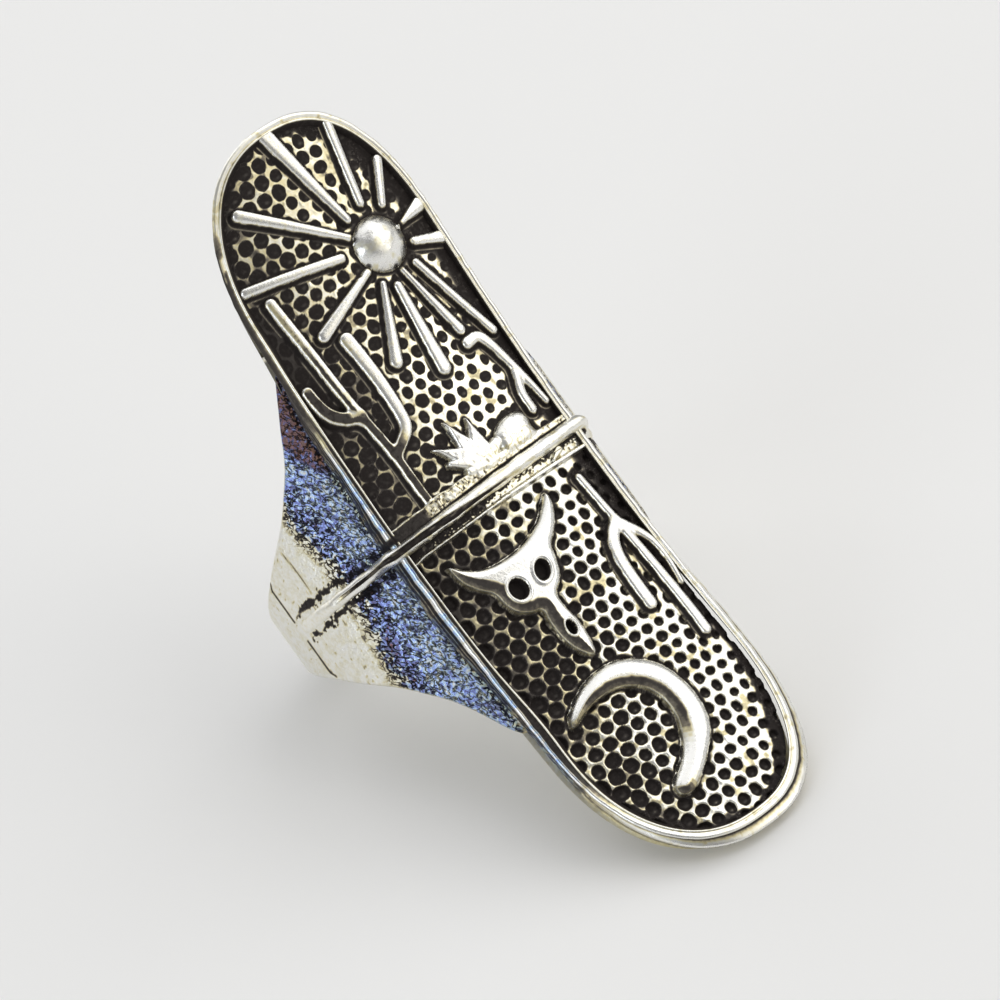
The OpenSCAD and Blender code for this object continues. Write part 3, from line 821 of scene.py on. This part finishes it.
def wing_line(u, kind, k):
    """Outer surface at one station, at distances u along the finger: across, height, turn, run from foot."""
    foot_z = plaque_z(FOOT_X, u, FOOT_UP)
    slope = math.hypot(WING_X - FOOT_X, float(plaque_z(FOOT_X, 0.0, FOOT_UP)) - WING_Z)
    if kind == "roof":
        return np.full(u.shape, FOOT_X * k), plaque_z(FOOT_X * k, u, FOOT_UP), FOOT_TURN * k, -6 * (1 - k)
    if kind == "wing":
        sag = WING_SAG * math.sin(math.pi * k)
        px = FOOT_X + (WING_X - FOOT_X) * k - sag + 0 * u
        pz = foot_z * (1 - k) + WING_Z * k - sag * 0.4
        return px, pz, FOOT_TURN + (WING_TURN - FOOT_TURN) * k, slope * k
    rad = math.radians(k)
    run = slope + BAND_R * (rad - math.radians(WING_TURN))
    return np.full(u.shape, BAND_R * math.sin(rad)), np.full(u.shape, BAND_R * math.cos(rad)), k, run


half_table = np.array(WING_HALF)
share = np.linspace(-1, 1, 141)
share = np.sign(share) * np.abs(share) ** 1.4
back = share[::-6]
stations = [("roof", k) for k in np.linspace(0, 1, 12)[:-1]]
stations += [("wing", k) for k in np.linspace(0, 1, 40)[:-1]]
stations += [("band", k) for k in np.linspace(WING_TURN, TURN_SPLIT, 88)[:-1]]
stations += [("band", k) for k in np.linspace(TURN_SPLIT, 180, 44)]
outer, inner, runs, edges = [], [], [], []
for kind, k in stations:
    # widths are averaged over a millimetre of the run, which rounds the outline off
    near = wing_line(np.zeros(1), kind, k)[3] + np.linspace(-0.5, 0.5, 11)
    sun_half, moon_half = (np.interp(near, half_table[:, 0], half_table[:, side]).mean() for side in (1, 2))
    half = np.where(share > 0, sun_half, moon_half)
    u = share * half
    px, pz, turn, run = wing_line(u, kind, k)
    a = math.radians(turn)
    ix, iz = BORE_R * math.sin(a), BORE_R * math.cos(a)
    draft = {"roof": 0.96, "wing": 0.96 + 0.04 * k, "band": 1.0}[kind]
    iu = back * np.where(back > 0, sun_half, moon_half) * draft
    edge_gap = half - np.abs(u)
    q = np.clip(1 - edge_gap / EDGE_R, 0, 1)
    drop = EDGE_R * (1 - np.sqrt(1 - q * q))
    size = np.hypot(ix - px, iz - pz)
    ox, oz = px + (ix - px) / size * drop, pz + (iz - pz) / size * drop
    outer.append(np.stack([ox, u, np.maximum(oz, 0.13 - BAND_R)], -1))
    inner.append(np.stack([np.full(iu.shape, ix), iu, np.full(iu.shape, iz)], -1))
    runs.append(run)
    edges.append(np.concatenate([edge_gap, np.zeros(len(back))]))
loops = np.concatenate([np.array(outer), np.array(inner)], axis=1)
run_at = np.repeat(np.array(runs)[:, None], loops.shape[1], axis=1)
along_at = loops[..., 1]
edge_at = np.array(edges)
is_outer = np.arange(loops.shape[1]) < len(share)


def wing_looks(seed):
    """Film and reflection, shine and wrinkles of one wing: a blue film by the foot, tarnish and a painted
    reflection of bluish light, then a dark wrinkled border, then bare metal.
    """
    q, u = run_at, along_at
    drift = noise(q, u, 1.1, seed) * 0.6 + noise(q, u, 0.45, seed + 1) * 0.4
    edge = 2.7 + 0.13 * np.clip(u, 0, 9) + 0.17 * np.clip(-u, 0, 9) + 0.6 * (drift - 0.5)
    patchy = noise(q, u, 0.24, seed + 9)
    # a film of colour: tarnish, and in its blue a painted reflection of bluish light
    film_and_reflection = soft(q + 1.2 * (patchy - 0.5), edge + 0.3, edge)
    clouds = noise(q, u / 2, 0.9, seed + 2) + noise(q, u / 2, 0.28, seed + 3) - 1
    hue = 0.38 + 0.12 * clouds
    hue += 0.13 * soft(q, edge - 1.3, edge - 0.5) + 0.46 * soft(u - q, 4.8, 6.5) * soft(q, 1.7, 1.1)
    hue += 0.08 * soft(np.abs(u), 1.6, 0.8)
    film_and_reflection = film_and_reflection * hue * soft(edge_at, 0.05, 0.3) * soft(q, -0.2, 0.0)
    wrinkle = soft(q, edge + 1.2, edge + 0.2) * (0.62 + 0.3 * soft(q, edge - 1.2, edge - 0.4))
    wrinkle *= soft(edge_at, 0.1, 0.35) * soft(q, -0.2, 0.0)
    # dark patina along both sides of the crossbar
    patina = np.zeros(u.shape)
    left_middle = 0.55 + 0.25 * soft(q, 2.0, 4.5)
    ragged = 2.4 * (noise(q, u, 0.2, seed + 4) - 0.5) + 1.2 * (noise(q, u, 0.09, seed + 7) - 0.5)
    for middle, wide in ((left_middle, 0.17), (-0.62, 0.2)):
        patina = np.maximum(patina, soft(np.abs(u - middle) / wide + ragged, 1.3, 0.6))
    patina *= 0.5 + 0.5 * soft(q, 1.2, 3.0)
    patina *= soft(q, 8.0, 7.6) * soft(noise(q, u, 0.5, seed + 5) + 0.6 * soft(q, 5.0, 3.0), 0.25, 0.5)
    # fine lines across the wing below the crossbar's end, a faint one above them, and freckles
    tail = 8.22 - 0.3 * soft(np.abs(u), 2.55, 3.0)
    lines = 0.85 * np.exp(-(((q - tail) / 0.09) ** 2)) * soft(np.abs(u), 3.1, 2.95)
    lines *= soft(np.abs(u), 0.5, 0.62)
    faint = np.exp(-(((q - 5.3 - 0.05 * (u - 2.2) ** 2) / 0.06) ** 2)) * soft(u, 0.9, 1.3) * soft(u, 3.9, 3.6)
    freckles = 0.3 * soft(noise(q, u, 0.2, seed + 6), 0.84, 0.94) * soft(q, 11.0, 8.5)
    freckles += 0.12 * noise(q, u, 0.3, seed + 8)
    bare = 1.02 - 0.1 * soft(q, 2.5, 4.0) - 0.08 * soft(q, edge - 0.6, edge) * soft(q, edge + 1.4, edge + 0.6)
    shine = bare - patina - lines - 0.45 * faint - freckles - 0.3 * soft(q, 0.3, 0.0) * (q > -0.01)
    return film_and_reflection, np.where(is_outer, np.clip(shine, 0.04, 1), 0.85), wrinkle


sides = []
for sign, seed in ((1, 81), (-1, 91)):
    film_and_reflection, shine, wrinkle = wing_looks(seed)
    pull = np.zeros(loops.shape)
    if sign > 0:
        film_and_reflection, wrinkle = film_and_reflection * soft(run_at, 0.3, 1.2), wrinkle * soft(run_at, 0.3, 1.2)
    else:
        # the left wing's top draws in under the plaque towards the sun end
        pull[..., 0] = 0.45 * soft(along_at, 7.5, 11.5) * soft(run_at, 1.8, 0.2)
    sides.append(((loops - pull) * np.array([sign, 1, 1]), film_and_reflection, shine, wrinkle))
band_points, *looks = [np.concatenate([one, other[-2:0:-1]]) for one, other in zip(*sides)]
points = place(*np.moveaxis(band_points, -1, 0))
band_values = dict(zip(("film_and_reflection", "shine", "wrinkle"), looks))
fit_piece(grid_mesh("wings_and_band", points, band_values, closed=(True, True)), wing_metal)


# Crossbar
# Two ridges with a groove between them, cast across the plaque at mid length over both its edges.
# They run on down the wings, lower and lower, and fade out in the patina there; the groove closes
# towards the right.

# points over the plaque and round each of its edges, and where the bar starts to bend over them
TOP_POINTS, BEND_POINTS = 90, 8
BAR_END = 5.75
top_x = np.linspace(-BAR_END, BAR_END, TOP_POINTS)
top_z = plaque_z(top_x, np.zeros(TOP_POINTS), 0.0)
zero = np.zeros(1)
down = [wing_line(zero, "wing", k) for k in np.linspace(0.3, 1, 13)[:-1]]
down += [wing_line(zero, "band", k) for k in np.linspace(WING_TURN, 88, 48)]
wing_x, wing_z = (np.array([spot[axis][0] for spot in down]) for axis in (0, 1))
wing_run = np.array([spot[3] for spot in down])
bend = np.radians(np.linspace(15, 80, BEND_POINTS))
over_x = 5.9 + 0.78 * np.sin(bend)
over_z = float(plaque_z(5.9, 0.0, 0.0)) - 0.7 * (1 - np.cos(bend))
half_x = np.concatenate([over_x, wing_x])
half_z = np.concatenate([over_z, wing_z])
half_run = np.concatenate([np.linspace(-2, 0, BEND_POINTS), wing_run])
path_x = np.concatenate([-half_x[::-1], top_x, half_x])
path_z = np.concatenate([half_z[::-1], top_z, half_z])
path_run = np.concatenate([half_run[::-1], np.full(TOP_POINTS, -2.0), half_run])
for path in (path_x, path_z):
    for turn in range(3):
        path[1:-1] = (path[:-2] + 2 * path[1:-1] + path[2:]) / 4
go_x, go_z = np.gradient(path_x), np.gradient(path_z)
size = np.hypot(go_x, go_z)
normal_x, normal_z = (-go_z / size)[:, None], (go_x / size)[:, None]
across = np.linspace(-1, 1, 41)[None, :]
run = path_run[:, None]
on_wing = soft(run, -1.5, 0.6)
length = np.cumsum(np.hypot(np.diff(path_x, prepend=path_x[0]), np.diff(path_z, prepend=path_z[0])))[:, None]
place_x = np.clip(path_x[:, None], -6.3, 6.3)
middle = (0.11 + 0.04 * place_x) * (1 - on_wing) - 0.03 * on_wing
half_w = 0.46 * (1 - on_wing) + 0.4 * on_wing + 0.06 * (noise(length, 0 * length, 0.8, 71) - 0.5)
tall = 0.28 * (1 - on_wing) + (0.3 - 0.033 * run) * on_wing
tall = tall * soft(run, 8.6, 7.6) - 0.06 * soft(run, 7.6, 8.6)
deep = -0.42 * (1 - on_wing) - 0.12 * on_wing
crown = (1 - np.abs(across) ** 2.2) ** 0.5
lift = deep + (tall - deep) * crown
# groove between the two ridges
leftward = soft(place_x, 2.6, -1.0)
groove_at = (-0.5 + 0.5 * soft(-place_x, 0.0, 6.0)) * (1 - 0.4 * on_wing)
groove_w = 0.09 + 0.24 * soft(-place_x, 0.0, 3.5) * (1 - 0.7 * on_wing)
groove = soft(np.abs(across - groove_at), groove_w + 0.12, groove_w - 0.02) * leftward * soft(run, 4.5, 3.0)
lift = lift - (0.09 + 0.1 * soft(-place_x, 0.0, 4.0)) * groove
lift = lift + 0.05 * (noise(length, across * half_w, 0.35, 72) - 0.5) * crown
streak = soft(noise(length / 5, across * half_w, 0.1, 73), 0.66, 0.85) * soft(run, 4, 1)
bar_shine = 0.98 * soft(1 - np.abs(across), 0.02, 0.14) - 0.25 * streak
bar_shine -= groove * (0.95 - 0.35 * soft(noise(length / 4, across * half_w, 0.1, 74), 0.6, 0.75))
# painted shade: the bar a little darker towards its right end, which faces right; its shine is also capped
# lower down the wings
bar_shine = np.clip(bar_shine, 0, 1 - 0.13 * soft(run, 2, 4) - 0.08 * soft(place_x, 1, 6))
points = place(path_x[:, None] + normal_x * lift, middle + half_w * across, path_z[:, None] + normal_z * lift)
fit_piece(grid_mesh("crossbar", points, {"shine": bar_shine}, flip=True), cast_metal)

# Floor and room
# A plain pale sheet of matt paper, 4 m on a side, under the ring in a pale room.
FLOOR_HALF = 2.0
corners = [(i * FLOOR_HALF, j * FLOOR_HALF, 0) for i, j in ((-1, -1), (1, -1), (1, 1), (-1, 1))]
floor_mesh = bpy.data.meshes.new("floor")
floor_mesh.from_pydata(corners, [], [(0, 1, 2, 3)])
floor = bpy.data.objects.new("floor", floor_mesh)
bpy.context.scene.collection.objects.link(floor)
paper = bpy.data.materials.new("pale_floor")
paper.use_nodes = True
paper_shader = paper.node_tree.nodes["Principled BSDF"]
paper_shader.inputs["Base Color"].default_value = (0.81, 0.81, 0.81, 1)
paper_shader.inputs["Roughness"].default_value = 0.9
floor_mesh.materials.append(paper)

world = bpy.data.worlds.new("room")
bpy.context.scene.world = world
world.use_nodes = True
world.node_tree.nodes["Background"].inputs["Color"].default_value = (0.96, 0.955, 0.95, 1)
world.node_tree.nodes["Background"].inputs["Strength"].default_value = 0.3

# Lights
# Five square softboxes: two large ones above and to the right, one behind, a cool one low on the left
# like a window, and a small warm one in front. Sizes and places are in metres, powers in watts.
SOFTBOXES = (
    ("key_light", (0.62, -0.25, 0.62), 1.15, 4.85, (1.0, 0.99, 0.96)),
    ("top_light", (0.12, 0.3, 0.95), 1.25, 4.15, (1.0, 1.0, 1.0)),
    ("back_light", (-0.3, 1.1, 0.5), 1.3, 4.9, (1.0, 1.0, 1.0)),
    ("window_light", (-0.85, -0.2, 0.32), 0.5, 1.8, (0.88, 0.94, 1.0)),
    ("warm_fill", (0.4, -0.85, 0.42), 0.75, 1.5, (1.0, 0.95, 0.82)),
)
LIGHT_AIM = Vector((0, 0, 0.01))
for name, position, size, power, colour in SOFTBOXES:
    light = bpy.data.lights.new(name, "AREA")
    light.shape = "SQUARE"
    light.size = size
    light.energy = power
    light.color = colour
    lamp = bpy.data.objects.new(name, light)
    lamp.rotation_euler = (LIGHT_AIM - Vector(position)).to_track_quat("-Z", "Y").to_euler()
    lamp.location = position
    bpy.context.scene.collection.objects.link(lamp)
bpy.context.scene.view_settings.view_transform = "Standard"

# Camera
# It looks at the middle of the plaque's face from 0.22 m, at the photograph's angle, and is turned
# about its own axis until the plaque leans as it does there.
CAMERA_AWAY = 0.22
TILT, ROLL, SLIDE = math.radians(23.156), math.radians(35.797), -0.070


def casting_way(across, along, out):
    """A direction of the casting's own frame as a unit vector of the part's frame."""
    way = place(across, along, out) - place(0.0, 0.0, 0.0)
    return way / np.linalg.norm(way)


flat = math.sqrt(1 - SLIDE**2)
towards = np.array([-flat * math.sin(TILT), SLIDE, flat * math.cos(TILT)])
along = np.array([0, 1, 0]) - SLIDE * towards
along /= np.linalg.norm(along)
across = np.cross(along, towards)
right = -math.sin(ROLL) * along + math.cos(ROLL) * across
upward = math.cos(ROLL) * along + math.sin(ROLL) * across
axes = [casting_way(*way) for way in (right, upward, towards)]
spot = place(0.0, 0.0, PLAQUE_TOP) + CAMERA_AWAY * axes[2]
camera_data = bpy.data.cameras.new("camera")
camera_data.lens = 155.2
camera_data.sensor_width = 36
camera_data.shift_x = 0.0055
camera_data.shift_y = -0.0156
camera_data.clip_start = 0.01
camera = bpy.data.objects.new("camera", camera_data)
camera.matrix_world = Matrix([[axis[row] for axis in (*axes, spot)] for row in range(3)] + [(0, 0, 0, 1)])
bpy.context.scene.collection.objects.link(camera)
bpy.context.scene.camera = camera
